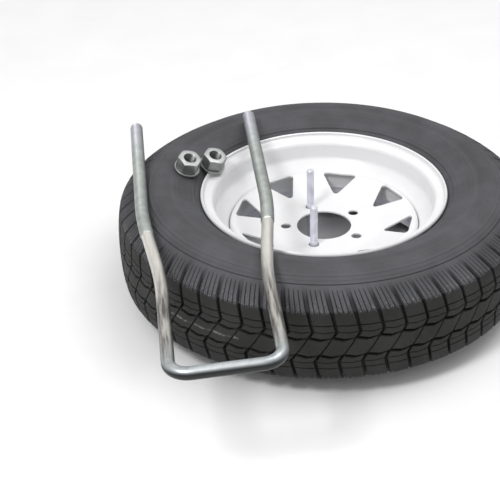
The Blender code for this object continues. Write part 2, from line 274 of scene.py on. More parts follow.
def turned(name, outline, matrix, columns):
    """A closed outline of (radius, height) points, turned round Z."""
    outline = np.array(outline, float)
    return ring_piece(name, outline[:, :1], full_turn(columns), outline[:, 1:], matrix)


def carve(piece, cutter):
    """Takes the cutter's shape out of the piece for good, and removes the cutter."""
    boolean = piece.modifiers.new("carve", "BOOLEAN")
    boolean.object = cutter
    graph = bpy.context.evaluated_depsgraph_get()
    carved = bpy.data.meshes.new_from_object(piece.evaluated_get(graph))
    piece.modifiers.clear()
    piece.data = carved
    bpy.data.objects.remove(cutter, do_unlink=True)


def smooth_step(t):
    """0 to 1, level at both ends."""
    t = np.clip(t, 0.0, 1.0)
    return t * t * (3 - 2 * t)


# -------- materials


class Look:
    """A material, or the world, whose nodes are added by short calls and end in one shader."""

    def __init__(self, name, owners=bpy.data.materials, shader="Principled BSDF", **sockets):
        self.owner = owners.new(name)
        self.owner.use_nodes = True
        self.tree = self.owner.node_tree
        self.shader = self.tree.nodes[shader]
        self.set(**sockets)
        self.coordinates = self.add("ShaderNodeTexCoord").outputs
        self.position = self.coordinates["Object"]

    def set(self, **sockets):
        """Values or links for the shader's sockets, with _ for a space."""
        for key, value in sockets.items():
            self.join(self.shader.inputs[key.replace("_", " ")], value)

    def join(self, socket, value):
        """Links a node's output to a socket, or sets the socket to a constant."""
        if isinstance(value, bpy.types.NodeSocket):
            self.tree.links.new(value, socket)
        elif socket.type == "RGBA" and len(value) == 3:
            socket.default_value = (*value, 1.0)
        else:
            socket.default_value = value

    def add(self, kind, settings=(), **sockets):
        """A node with its own settings, and values or links for its sockets."""
        node = self.tree.nodes.new(kind)
        for key, value in dict(settings).items():
            setattr(node, key, value)
        for key, value in sockets.items():
            self.join(node.inputs[key.replace("_", " ")], value)
        return node

    def noise(self, scale, detail, stretch=(1, 1, 1), vector=None):
        """Noise from 0 to 1, in cycles per metre."""
        spread = self.add("ShaderNodeMapping", Vector=vector or self.position, Scale=stretch)
        return self.add(
            "ShaderNodeTexNoise", Vector=spread.outputs["Vector"], Scale=scale, Detail=detail, Roughness=0.55,
        ).outputs["Fac"]

    def attribute(self, name):
        """A number that the mesh holds at each point, or 0 if it holds none."""
        return self.add("ShaderNodeAttribute", {"attribute_name": name}).outputs["Fac"]

    def ramp(self, value, low, high, start=0.0, end=1.0):
        """Maps low..high of a value to start..end, held at both ends."""
        node = self.add("ShaderNodeMapRange", Value=value)
        for key, number in (("From Min", low), ("From Max", high), ("To Min", start), ("To Max", end)):
            node.inputs[key].default_value = number
        return node.outputs["Result"]

    def math(self, operation, first, second=0.0):
        """A sum on one or two numbers."""
        node = self.add("ShaderNodeMath", {"operation": operation})
        self.join(node.inputs[0], first)
        self.join(node.inputs[1], second)
        return node.outputs["Value"]

    def facing(self, direction, low, high):
        """0 to 1 as the surface turns towards a direction."""
        turned_to = self.add("ShaderNodeVectorMath", {"operation": "DOT_PRODUCT"})
        self.join(turned_to.inputs[0], self.add("ShaderNodeNewGeometry").outputs["Normal"])
        self.join(turned_to.inputs[1], tuple(Vector(direction).normalized()))
        return self.ramp(turned_to.outputs["Value"], low, high)

    def mix(self, share, first, second):
        """A colour between two colours."""
        node = self.add("ShaderNodeMix", {"data_type": "RGBA"})
        self.join(node.inputs["Factor"], share)
        self.join(node.inputs["A"], first)
        self.join(node.inputs["B"], second)
        return node.outputs["Result"]

    def finish(self, colour, pattern, roughness, relief, distance, strength):
        """The material, with its colour, a roughness that follows a pattern, and a relief in metres."""
        bump = self.add("ShaderNodeBump", Height=relief, Distance=distance, Strength=strength)
        self.set(
            Base_Color=colour, Roughness=self.ramp(pattern, 0.3, 0.7, *roughness),
            Normal=bump.outputs["Normal"],
        )
        return self.owner


def tyre_rubber():
    """Grey bloomed sidewalls and lugs with painted highlights at the lugs' foot, a darker tread that is
    partly painted shade, grooves darkened as painted shade, and a scuffed line on the crown.
    """
    look = Look("tyre_rubber", Specular_IOR_Level=0.3)
    across, depth = look.math("ABSOLUTE", look.attribute("across")), look.attribute("depth")
    mottle, fine = look.noise(19, 5), look.noise(420, 3)
    patch = look.ramp(mottle, 0.38, 0.66)
    rings = look.noise(80, 2, vector=look.add("ShaderNodeCombineXYZ", X=across).outputs["Vector"])
    wall = look.mix(patch, (0.058, 0.058, 0.063), (0.081, 0.081, 0.089))
    wall = look.mix(look.ramp(rings, 0.42, 0.62, 0.0, 0.22), wall, (0.112, 0.112, 0.120))
    lug = look.mix(patch, (0.052, 0.052, 0.057), (0.080, 0.080, 0.087))
    # Painted highlights: bright specks along the foot of the lugs, where the sipes' edges catch the light.
    painted_glints = look.math(
        "MULTIPLY", look.ramp(look.noise(520, 2), 0.55, 0.66, 0.0, 0.6),
        look.ramp(across, TREAD_HALF + 0.022, TREAD_HALF + 0.004),
    )
    lug = look.mix(painted_glints, lug, (0.20, 0.20, 0.21))
    # The tread's dark tone is partly the rubber's own and partly painted shade, since its face gets less
    # light than the sidewall.
    tread = look.mix(patch, (0.015, 0.015, 0.014), (0.025, 0.025, 0.024))
    edge = look.math("ADD", across, look.ramp(look.noise(260, 3), 0.3, 0.7, -0.0022, 0.0022))
    colour = look.mix(look.ramp(edge, TREAD_HALF - 0.002, TREAD_HALF + 0.003), tread, lug)
    colour = look.mix(look.ramp(across, LUG_END - 0.012, LUG_END), colour, wall)
    # Painted shade: grooves, notches and sipes darken towards black with their depth.
    colour = look.mix(look.ramp(depth, 0.0006, 0.005, 0.0, 0.55), colour, (0.009, 0.009, 0.009))
    worn = look.math("MULTIPLY", look.attribute("scuff"), look.ramp(look.noise(160, 2), 0.4, 0.6, 0.1, 0.75))
    colour = look.mix(worn, colour, (0.20, 0.20, 0.19))
    return look.finish(colour, fine, (0.58, 0.78), fine, 0.0004, 0.5)


def white_paint():
    """Gloss enamel with painted light, brighter and a little blue inside the drum, and a faint orange peel
    and grime.
    """
    look = Look("wheel_white", Coat_Weight=0.5, Coat_Roughness=0.12)
    height = look.add("ShaderNodeSeparateXYZ", Vector=look.position).outputs["Z"]
    grime = look.ramp(look.noise(22, 5), 0.52, 0.75, 0.0, 0.35)
    # Painted light: below the disc, inside the drum that shows through the windows, the paint is brighter and
    # bluer.
    paint_with_painted_light = look.mix(look.ramp(height, 0.078, 0.088), (0.92, 0.92, 1.00), (0.80, 0.80, 0.81))
    colour = look.mix(grime, paint_with_painted_light, (0.72, 0.71, 0.70))
    return look.finish(colour, look.noise(60, 3), (0.28, 0.42), look.noise(300, 2), 0.0002, 0.25)


def zinc(name, bright, dull, roughness, metallic=0.85, shade=0.0, axis=(0, 0, 1)):
    """Zinc plate with soft blotches, with painted shade in bores and where it faces away from an axis."""
    look = Look(name, Metallic=metallic)
    blotch, fine = look.noise(70, 4), look.noise(900, 2)
    colour = look.mix(look.ramp(blotch, 0.35, 0.68), bright, dull)
    if shade:
        # Painted shade: dark in the bores and on faces turned away from the axis.
        turned_away = look.ramp(look.facing(axis, 0.2, 0.85), 0.0, 1.0, shade, 0.0)
        painted_shade = look.math("MAXIMUM", turned_away, look.attribute("bore"))
        colour = look.mix(painted_shade, colour, (0.035, 0.035, 0.035))
    return look.finish(colour, blotch, roughness, fine, 0.00015, 0.35)


def bar_zinc():
    """The U-bar's plating: grey-green threads, pale shanks streaked lower down, and blue-grey bends, with
    painted shade under the crossbar and on sides turned away from above.
    """
    look = Look("u_bar_zinc", Metallic=0.75)
    from_tip = look.attribute("from_tip")
    blotch, fine = look.noise(60, 4), look.noise(700, 2)
    patch = look.ramp(blotch, 0.35, 0.7)
    lengthwise = look.add(
        "ShaderNodeMapping", {"vector_type": "TEXTURE"}, Vector=look.position, Rotation=(0, 0, BAR_YAW),
    ).outputs["Vector"]
    streak = look.noise(150, 4, stretch=(1.0, 0.08, 1.0), vector=lengthwise)
    tip = look.mix(patch, (0.76, 0.77, 0.83), (0.60, 0.61, 0.66))
    thread = look.mix(patch, (0.70, 0.74, 0.71), (0.48, 0.52, 0.50))
    shank = look.mix(look.ramp(streak, 0.40, 0.66), (0.86, 0.84, 0.78), (0.72, 0.70, 0.65))
    worn = look.mix(look.ramp(streak, 0.42, 0.58), (0.60, 0.58, 0.54), (0.15, 0.14, 0.13))
    bend = look.mix(patch, (0.56, 0.59, 0.60), (0.34, 0.37, 0.38))
    thread_end = BAR_LENGTH - BAR_THREAD_START
    threads = look.mix(look.ramp(from_tip, 0.03, 0.12), tip, thread)
    plain_rod = look.mix(look.ramp(from_tip, 0.41, 0.50), shank, worn)
    plain_rod = look.mix(look.ramp(from_tip, 0.585, 0.64), plain_rod, bend)
    colour = look.mix(look.ramp(from_tip, thread_end - 0.003, thread_end), threads, plain_rod)
    crossbar = look.ramp(from_tip, 0.54, 0.60)
    # Painted shade: the crossbar's underside goes nearly black.
    painted_underside_shade = look.facing((0.05, -0.35, -0.94), -0.42, 0.02)
    colour = look.mix(look.math("MULTIPLY", painted_underside_shade, crossbar), colour, (0.022, 0.024, 0.027))
    # Painted shade: faces turned away from above darken, so each rod looks lit along its top and dark at its
    # sides.
    upwards = look.facing((-0.30, -0.05, 0.95), -0.15, 0.85)
    colour = look.mix(upwards, look.mix(0.80, colour, (0.04, 0.04, 0.04)), colour)
    return look.finish(colour, blotch, (0.30, 0.44), fine, 0.0002, 0.35)


def plain(name, first, second, roughness, metallic=0.0):
    """Two close tones with a fine grain, for small parts."""
    look = Look(name, Metallic=metallic)
    grain = look.noise(400, 3)
    colour = look.mix(look.ramp(grain, 0.35, 0.65), first, second)
    return look.finish(colour, grain, roughness, grain, 0.0001, 0.3)


# -------- tyre

PITCHES = 60  # tread pitches round the tyre
# Places along one pitch: a notch between blocks, then a block whose lug has three thin sipes
PITCH_COLUMNS = [
    0.0, 0.035, 0.125, 0.16, 0.24, 0.322, 0.35, 0.378, 0.46, 0.542, 0.57, 0.598, 0.68, 0.762, 0.79, 0.818,
    0.91,
]
NOTCH_MIDDLE, NOTCH_END = 0.08, 0.16
NOTCH_COLUMNS, SIPE_COLUMNS = (1, 2), (6, 10, 14)
BRIDGE_START, BRIDGE_END = 0.8, 0.2
BRIDGE_DEPTH = 0.35  # of the main groove's depth, where blocks are joined across it

# Distances from the crown, along the surface
MAIN_GROOVE_NEAR, MAIN_GROOVE_FAR = 0.0118, 0.0162
TREAD_HALF = 0.0530
LUG_END = 0.0918
LEAN_AT = (0.0, 0.0235, TREAD_HALF, LUG_END)
LEAN = (0.0, 0.46, 0.25, -0.03)  # pitches that the notches have moved round there
MAIN_GROOVE = 0.0060  # deep
ZIGZAG = 0.0019  # each way
SCUFF_HALF = 0.0012
SCUFF_BEARINGS = (-137, -112)  # degrees round the tyre


def tyre_skin_line():
    """The tyre's outside from the outboard bead toe over the crown to the inboard one: (radius, height)."""
    half = [
        (0.1650, 0.0385), (0.1654, 0.0460), (0.1668, 0.0534), (0.1684, 0.0557), (0.1720, 0.0570),
        (0.1778, 0.0585), (0.1826, 0.0612), (0.1850, 0.0645), (0.1920, 0.0703), (0.2000, 0.0762),
        (0.2150, 0.0834), (0.2270, 0.0871), (0.2380, 0.0882), (0.2520, 0.0841), (0.2640, 0.0780),
        (0.2750, 0.0716), (0.2850, 0.0656), (0.2940, 0.0589), (0.2985, 0.0552), (0.3004, 0.0528),
        (0.3013, 0.0494), (0.3029, 0.0400), (0.3041, 0.0280), (0.3048, 0.0140), (TYRE_RADIUS, 0.0),
    ]
    return curve_through(half + [(r, -u) for r, u in half[-2::-1]], 8)


def tyre_lining_line():
    """The tyre's inside, from the inboard bead toe back to the outboard one."""
    half = [
        (0.1672, 0.0376), (0.1740, 0.0398), (0.1800, 0.0430), (0.1900, 0.0550), (0.2150, 0.0720),
        (0.2380, 0.0775), (0.2600, 0.0695), (0.2850, 0.0510), (0.2925, 0.0330), (0.2935, 0.0),
    ]
    return curve_through([(r, -u) for r, u in half] + half[-2::-1], 3)


def tread_rows():
    """(distance from the crown, ring groove depth) of the skin's rows on the outboard half."""
    rows = [(d, 0.0) for d in (0.0, 0.0011, 0.0018, 0.0050, 0.0085)]
    rows += [(MAIN_GROOVE_NEAR, 0.0), (0.0126, MAIN_GROOVE), (0.0154, MAIN_GROOVE), (MAIN_GROOVE_FAR, 0.0)]
    rows += [(0.0200, 0.0), (0.0235, 0.0), (0.0243, 0.0022), (0.0251, 0.0), (0.0290, 0.0)]
    rows += [(0.0335, 0.0), (0.0345, 0.0026), (0.0355, 0.0)]
    rows += [(d, 0.0) for d in (0.0395, 0.0435, 0.0475, 0.0505, 0.0520, TREAD_HALF, 0.0541, 0.0560)]
    rows += [(float(d), 0.0) for d in np.linspace(0.0600, LUG_END - 0.0020, 8)]
    rows += [(LUG_END, 0.0), (LUG_END + 0.0005, 0.0013), (LUG_END + 0.0017, 0.0013), (LUG_END + 0.0024, 0.0)]
    return rows


def wall_rows(end):
    """The sidewall's rows down to the bead toe, with its raised rings."""
    rings = [(0.0985, 0.0006), (0.1050, 0.0007), (0.1740, 0.0009)]
    rows = []
    for place, height in rings:
        rows += [(place, 0.0), (place + 0.0009, -height), (place + 0.0027, -height), (place + 0.0036, 0.0)]
    taken = [place for place, _ in rows]
    for place in np.arange(LUG_END + 0.0045, end - 0.002, 0.0040):
        if min(abs(place - t) for t in taken) > 0.0015:
            rows.append((float(place), 0.0))
    return sorted(rows) + [(end, 0.0)]


def notch_depth(across):
    """Depth of the notches between blocks, by distance from the crown."""
    places = [0, MAIN_GROOVE_NEAR, MAIN_GROOVE_FAR, TREAD_HALF, 0.068, LUG_END - 0.001]
    return np.interp(across, places, [0.0026, 0.0026, 0.0060, 0.0070, 0.0060, 0.0])


def sipe_depth(across):
    """Depth of the thin sipes in the lugs, by distance from the crown."""
    places = [0, TREAD_HALF - 0.002, TREAD_HALF + 0.001, 0.080, 0.087]
    return np.interp(across, places, [0.0, 0.0, 0.0024, 0.0020, 0.0])


def tyre():
    """Rows across the tyre and columns round it, sunk into grooves, notches and sipes."""
    line = tyre_skin_line()
    distance = distances(line)
    half_length = distance[-1] / 2
    position = half_length - distance  # from the crown, plus on the outboard side
    slope = np.gradient(line, axis=0)
    slope /= np.linalg.norm(slope, axis=1, keepdims=True)
    normal = np.stack([-slope[:, 1], slope[:, 0]], axis=1)

    half = tread_rows() + wall_rows(half_length)
    rows = [(p, d) for p, d in reversed(half)] + [(-p, d) for p, d in half[1:]]
    place = np.array([p for p, _ in rows])[:, None]
    ring = np.array([d for _, d in rows])[:, None]
    away = np.abs(place)

    column = np.tile(PITCH_COLUMNS, PITCHES)
    turn = np.repeat(np.arange(PITCHES), len(PITCH_COLUMNS))
    kind = np.tile(np.arange(len(PITCH_COLUMNS)), PITCHES)
    spread = np.interp(away, [MAIN_GROOVE_NEAR, MAIN_GROOVE_FAR, 0.0475, 0.0560], [0.5, 1.0, 1.0, 1.5])
    column_at = NOTCH_MIDDLE + (column - NOTCH_MIDDLE) * np.where(column <= NOTCH_END, spread, 1.0)
    lean = np.sign(place) * np.interp(away, LEAN_AT, LEAN)
    angle = (turn + column_at + lean) * 2 * math.pi / PITCHES

    wave = 2 * np.abs(2 * ((column - NOTCH_MIDDLE) % 1.0) - 1) - 1  # 1 at notches, -1 between
    sway_at = [0, 0.0085, MAIN_GROOVE_NEAR, MAIN_GROOVE_FAR, 0.0243, 0.0335, 0.0475, 0.05]
    sway = ZIGZAG * np.interp(away, sway_at, [0.6, 0.9, 1, 1, 0.6, 0.3, 0.1, 0])
    shifted = place + sway * wave
    depth = np.where(np.isin(kind, NOTCH_COLUMNS), notch_depth(away), 0.0)
    depth = np.where(np.isin(kind, SIPE_COLUMNS), sipe_depth(away), depth)
    at_bridge = (ring >= MAIN_GROOVE) & ((column < BRIDGE_END) | (column > BRIDGE_START))
    bridged = np.where(at_bridge, BRIDGE_DEPTH, 1.0)
    depth = np.maximum(depth, ring * bridged) + np.minimum(ring, 0.0)


    def on_skin(values):
        """Values of the skin's line, read at the shifted rows."""
        return np.interp(shifted, position[::-1], values[::-1])

    radius = on_skin(line[:, 0]) - on_skin(normal[:, 0]) * depth
    height = on_skin(line[:, 1]) - on_skin(normal[:, 1]) * depth

    lining = tyre_lining_line()
    inside = np.zeros((len(lining), len(column)))
    end_lean = np.linspace(lean[-1, 0], lean[0, 0], len(lining))[:, None]
    bearing = (np.degrees(angle) + 180) % 360 - 180
    first, last = SCUFF_BEARINGS
    scuffed = (away < SCUFF_HALF) & (bearing > first) & (bearing < last) & (column > NOTCH_MIDDLE)
    piece = ring_piece(
        "tyre_skin", np.vstack([radius, lining[:, :1] + inside]),
        np.vstack([angle, (turn + column + end_lean) * 2 * math.pi / PITCHES]),
        np.vstack([height, lining[:, 1:] + inside]), TO_MID, 30.0,
        across=np.vstack([shifted, inside + 1]), depth=np.vstack([depth, inside]),
        scuff=np.vstack([scuffed, inside]),
    )
    stand_for(piece, "tyre", tyre_rubber())


def bead_wires(material):
    """Bundles of round wires, as one scalloped ring each."""
    size, wires = 0.0072, 4
    radius, offset = 0.1726, 0.0475
    bump = size / wires / 2
    outline = []
    for side in range(4):
        for wire in range(wires):
            along = -size / 2 + (wire + 0.5) * size / wires
            for angle in np.linspace(-60, 60, 5):
                a = math.radians(angle)
                x, y = size / 2 - bump + bump * math.cos(a), along + bump * math.sin(a)
                for _ in range(side):
                    x, y = -y, x
                outline.append((radius + x, y))
    for sign, node in ((1, "bead_wire_outboard"), (-1, "bead_wire_inboard")):
        matrix = TO_MID @ Matrix.Translation((0, 0, sign * offset))
        stand_for(turned(f"{node}_bundle", outline, matrix, 96), node, material)


# -------- rim and disc

EDGE_BENDS = np.radians([0, 30, 60, 90])  # steps of a rounded edge


def rim(material):
    """The rim's sheet, turned along its middle line, with a hole for the valve."""
    lip = FLANGE_RADIUS - RIM_SHEET / 2
    flange = [
        (lip - 0.0014, 0.0680), (lip, 0.0660), (0.1806, 0.0630), (0.1773, 0.0602), (0.1720, 0.0588),
        (0.1665, 0.0575), (0.1646, 0.0540),
    ]
    low, high = WELL_SLOPE
    well = [
        (0.1626, 0.0340), high, low, (WELL_RADIUS, 0.0135), (WELL_RADIUS, -0.0220), (0.1600, -0.0360),
        (0.1626, -0.0395),
    ]
    middle = rounded(flange + well + [(r, -u) for r, u in flange[::-1]], 0.006, 5, closed=False)
    outline = rounded([tuple(p) for p in sheet(middle, RIM_SHEET)], 0.0010, 2)
    shell = turned("rim_shell", outline, TO_MID, 240)
    reach = 0.006
    drill = [(0, -reach), (VALVE_HOLE_RADIUS, -reach), (VALVE_HOLE_RADIUS, reach), (0, reach)]
    carve(shell, turned("valve_bore", drill, VALVE, 32))
    stand_for(shell, "wheel_rim", material)


def disc_line():
    """The middle of the disc's sheet, from the hub hole out to its skirt."""
    face = HUB_FACE - DISC_SHEET / 2
    skirt = WELL_RADIUS - RIM_SHEET / 2 - GAP - DISC_SHEET / 2
    line = [
        (0.0300, face), (HUB_HOLE_RADIUS, face), (0.0600, face), (0.0740, face), (0.0800, face),
        (0.0860, face + 0.0008), (0.0925, face + 0.0028), (0.1100, face + 0.0093), (0.1285, face + 0.0161),
        (0.1330, face + 0.0162), (0.1375, face + 0.0120), (skirt, face + 0.0040), (skirt, face - 0.0120),
    ]
    return curve_through(line, 8)


def resample(points, count):
    """Even steps along an open line of 2-D points, without its last point."""
    points = np.array(points, float)
    length = distances(points)
    at = np.linspace(0, length[-1], count, endpoint=False)
    return np.stack([np.interp(at, length, points[:, k]) for k in range(2)], axis=1)


def arc(middle, radius, start, end, steps):
    """Points on a circular arc, from one angle to another in degrees."""
    angle = np.radians(np.linspace(start, end, steps + 1))
    return np.stack([middle[0] + radius * np.cos(angle), middle[1] + radius * np.sin(angle)], axis=1)


def window_loop(around, along):
    """A window's edge as four runs that face the sector's outer arc, side, inner arc and side."""
    out, aside = WINDOW_OUTER_RADIUS - WINDOW_CORNER, WINDOW_OUTER_HALF - WINDOW_CORNER
    low = arc((out, -aside), WINDOW_CORNER, -70, -5, 8)
    high = arc((out, aside), WINDOW_CORNER, 5, 70, 8)
    tip = arc((WINDOW_INNER_RADIUS + WINDOW_INNER_HALF, 0), WINDOW_INNER_HALF, 115, 245, 8)
    runs = (
        (np.vstack([low[4:], high[:5]]), around), (np.vstack([high[4:], tip[:3]]), along),
        (tip[2:7], around), (np.vstack([tip[6:], low[:5]]), along),
    )
    return np.vstack([resample(run, count) for run, count in runs])


def sector_loop(inner, outer, half_angle, around, along):
    """The border of a sector of a ring, as four runs, starting at its outer arc."""
    degrees = math.degrees(half_angle)
    left, right = (np.array([math.cos(a), math.sin(a)]) for a in (half_angle, -half_angle))
    runs = (
        (arc((0, 0), outer, -degrees, degrees, around * 4), around),
        (np.stack([left * outer, left * inner]), along),
        (arc((0, 0), inner, degrees, -degrees, around * 4), around),
        (np.stack([right * inner, right * outer]), along),
    )
    return np.vstack([resample(run, count) for run, count in runs])


def hole_patch(hole, border, edge):
    """Rings of points from a hole's edge out to a border, and how far its rounding drops each."""
    along = np.roll(hole, -1, axis=0) - np.roll(hole, 1, axis=0)
    outward = np.stack([along[:, 1], -along[:, 0]], axis=1)
    outward /= np.linalg.norm(outward, axis=1, keepdims=True)
    rings = [hole + outward * edge * (1 - math.cos(a)) for a in EDGE_BENDS]
    base, shares = rings[-1], (0.12, 0.3, 0.5, 0.75, 1.0)
    rings += [base + (border - base) * share for share in shares]
    drops = [edge * (1 - math.sin(a)) for a in EDGE_BENDS] + [0.0] * len(shares)
    return np.array(rings), np.array(drops)


def disc(material):
    """The disc's face as patches round its holes, doubled to a sheet with rounded edges."""
    line = disc_line()
    radius_of, height_of = line[:, 0], line[:, 1]
    rising = 70  # of the line's points, before it turns down
    flat_end, pad_end, window_start, window_end = 0.0425, 0.0735, 0.0800, 0.1335
    window_edge, hole_edge = 0.0010, 0.0012  # radii of their rounded edges
    apart = np.arange(len(radius_of)) * 1e-9  # since the skirt's radii are equal
    slope = np.gradient(height_of, radius_of + apart)
    window_around, window_along = 15, 12
    stud_around, stud_along = 24, 8
    columns = WINDOW_COUNT * window_around
    points, faces = [], []

    def surface(flat, drop, side):
        """Lifts flat points to the sheet's top or bottom."""
        radius = np.linalg.norm(flat, axis=-1)
        inside = radius_of <= window_end + 0.002
        middle = np.interp(radius, radius_of[inside], height_of[inside])
        tilt = np.interp(radius, radius_of[inside], slope[inside])
        half = DISC_SHEET / 2 * np.sqrt(1 + tilt ** 2)
        height = middle + side * (half - np.broadcast_to(drop, radius.shape))
        return np.concatenate([flat, height[..., None]], axis=-1)

    def add(grid):
        """Adds a grid of points whose columns close into a ring."""
        first = sum(len(p) for p in points)
        points.append(grid.reshape(-1, 3))
        faces.extend(grid_faces(*grid.shape[:2], first=first).tolist())

    def add_holes(loop, border, phase, count, edge):
        """Both faces and the edge of the sheet round each of a ring of holes."""
        rings, drops = hole_patch(loop, border, edge)
        for i in range(count):
            angle = phase + 2 * math.pi * i / count
            turn = np.array([[math.cos(angle), math.sin(angle)], [-math.sin(angle), math.cos(angle)]])
            flat = rings @ turn
            top, bottom = surface(flat, drops[:, None], 1), surface(flat, drops[:, None], -1)
            add(np.concatenate([top[::-1], bottom]))

    windows = window_loop(window_around, window_along)
    sector = sector_loop(window_start, window_end, math.pi / WINDOW_COUNT, window_around, window_along)
    add_holes(windows, sector, WINDOW_PHASE, WINDOW_COUNT, window_edge)

    stud_sector = sector_loop(flat_end, pad_end, math.pi / STUD_COUNT, stud_around, stud_along)
    bearing = np.arctan2(stud_sector[:, 1], stud_sector[:, 0] - STUD_CIRCLE_RADIUS)
    hole = np.stack([np.cos(bearing), np.sin(bearing)], axis=1) * STUD_HOLE_RADIUS + [STUD_CIRCLE_RADIUS, 0]
    add_holes(hole, stud_sector, STUD_PHASE, STUD_COUNT, hole_edge)

    def circle(radius, phase):
        """Flat points round the wheel's axis."""
        angle = phase + full_turn(columns)
        return radius * np.stack([np.cos(angle), np.sin(angle)], axis=1)

    stud_start = STUD_PHASE - math.pi / STUD_COUNT
    window_start_angle = WINDOW_PHASE - math.pi / WINDOW_COUNT
    step = 2 * math.pi / columns
    skew = (window_start_angle - stud_start) % step
    between = [
        circle(pad_end + (window_start - pad_end) * t, stud_start + skew * t) for t in np.linspace(0, 1, 5)
    ]
    for side in (1, -1):
        add(surface(np.array(between), 0.0, side))

    hub_radii = [flat_end] + [HUB_HOLE_RADIUS + hole_edge * (1 - math.sin(a)) for a in EDGE_BENDS]
    hub_drops = np.array([0.0] + [hole_edge * (1 - math.cos(a)) for a in EDGE_BENDS])[:, None]
    hub_rings = np.array([circle(r, stud_start) for r in hub_radii])
    add(np.concatenate([surface(hub_rings, hub_drops, 1), surface(hub_rings, hub_drops, -1)[::-1]]))

    outer = [tuple(p) for p in line if p[0] > window_end + 0.0004 or p[1] < HUB_FACE - DISC_SHEET]
    start = (window_end, np.interp(window_end, radius_of[:rising], height_of[:rising]))
    skirt = sheet([start] + outer, DISC_SHEET)
    ring = round_z(skirt[:, :1], window_start_angle + full_turn(columns), skirt[:, 1:])
    border = circle(window_end, window_start_angle)[None]
    ring[0], ring[-1] = surface(border, 0.0, 1)[0], surface(border, 0.0, -1)[0]
    add(ring)
    piece = new_mesh("disc_sheet", np.vstack(points), faces, TO_MID, 40.0)
    stand_for(piece, "wheel_disc", material)


# -------- rods and threads


class Route:
    """A flat line in space that a rod follows, read by distance from its start."""

    def __init__(self, points, normal):
        self.points = np.array([tuple(p) for p in points], float)
        self.distance = distances(self.points)
        self.length = self.distance[-1]
        self.normal = np.array(tuple(normal), float)
        along = np.gradient(self.points, self.distance, axis=0)
        side = np.cross(along, self.normal)
        self.side = side / np.linalg.norm(side, axis=1, keepdims=True)

    def read(self, values, at):
        """Vectors along the route, at distances from its start."""
        return np.stack([np.interp(at, self.distance, values[:, k]) for k in range(3)], axis=-1)

    def rod(self, name, at, radius, from_tip):
        """A rod over a grid of distances and radii, one column for each direction round it."""
        angle = full_turn(at.shape[1])
        side = self.read(self.side, at)
        side /= np.linalg.norm(side, axis=-1, keepdims=True)
        ray = side * np.cos(angle)[None, :, None] + self.normal * np.sin(angle)[None, :, None]
        points = self.read(self.points, at) + ray * radius[..., None]
        return new_mesh(name, points, capped_faces(*at.shape), from_tip=from_tip)


def screw(length, pitch, columns):
    """Rows that follow a thread to a length, three to a turn, and 1 where they are on its crest."""
    turns = np.arange(-1, math.ceil(length / pitch) + 1)
    rows = (turns[:, None] + np.array([0.0, 0.40, 0.60])).reshape(-1, 1)
    crest = np.tile([0.0, 1.0, 1.0], len(turns))[:, None]
    at = np.clip(pitch * (rows + np.arange(columns) / columns), 0, length)
    return at, np.broadcast_to(crest, at.shape)


def threaded_end(length, pitch, shank, major, root, chamfer, columns):
    """Distances from the tip and radii of a threaded end that runs out into its plain shank."""
    at, crest = screw(length, pitch, columns)
    radius = root + (major - root) * crest
    run_out = smooth_step((length - at) / (2.5 * pitch))
    radius = shank + (radius - shank) * run_out
    return at, np.minimum(radius, major - chamfer + at)


def bolt(name, route, thread, pitch, shank, major, root, chamfer, columns):
    """A rod that is threaded at both ends, and knows how far each point is from the nearer tip."""
    at, radius = threaded_end(thread, pitch, shank, major, root, chamfer, columns)
    plain_at = np.arange(thread + ROD_STEP, route.length - thread - 0.003, ROD_STEP)
    plain_at = np.repeat(plain_at[:, None], columns, axis=1)
    every = np.vstack([at, plain_at, route.length - at[::-1, ::-1]])
    radii = np.vstack([radius, np.full(plain_at.shape, shank), radius[::-1, ::-1]])
    return route.rod(name, every, radii, np.minimum(every, route.length - every))


def leg_offset(distance):
    """How far a leg of the U-bar is from its middle line."""
    start, end = BAR_JOG
    share = smooth_step((distance - start) / (end - start))
    return (BAR_CROSS_SPACING + (BAR_LEG_SPACING - BAR_CROSS_SPACING) * share) / 2


def u_bar():
    """A rod bent to a U, with its legs stepped outwards before their threads."""
    half, bend = BAR_CROSS_SPACING / 2, BAR_BEND_RADIUS
    right = [(x, 0.0) for x in np.arange(0, half - bend, ROD_STEP)]
    right += [tuple(p) for p in arc((half - bend, bend), bend, -90, 0, 24)]
    right += [(float(leg_offset(d)), d) for d in np.arange(bend + ROD_STEP, BAR_LENGTH, ROD_STEP)]
    right.append((float(leg_offset(BAR_LENGTH)), BAR_LENGTH))
    flat = [(-x, y) for x, y in right[:0:-1]] + right
    seat = WHEEL @ Matrix.Translation(BAR_AT)
    seat = seat @ Matrix.Rotation(BAR_YAW, 4, "Z") @ Matrix.Rotation(BAR_ROLL, 4, "Y")
    points = [seat @ Vector((x, y, 0)) for x, y in flat]
    route = Route(points, seat.to_3x3() @ Vector((0, 0, 1)))
    piece = bolt(
        "u_bar_rod", route, BAR_LENGTH - BAR_THREAD_START, BAR_THREAD_PITCH,
        BAR_SHANK_RADIUS - BAR_SHANK_TRIM, BAR_THREAD_RADIUS, BAR_THREAD_ROOT, BAR_END_CHAMFER, 32,
    )
    stand_for(piece, "u_bar", bar_zinc())


def stud_point(i):
    """The point on the ground under a stud hole."""
    angle = STUD_PHASE + 2 * math.pi * i / STUD_COUNT
    return WHEEL @ (STUD_CIRCLE_RADIUS * Vector((math.cos(angle), math.sin(angle), 0.0)))


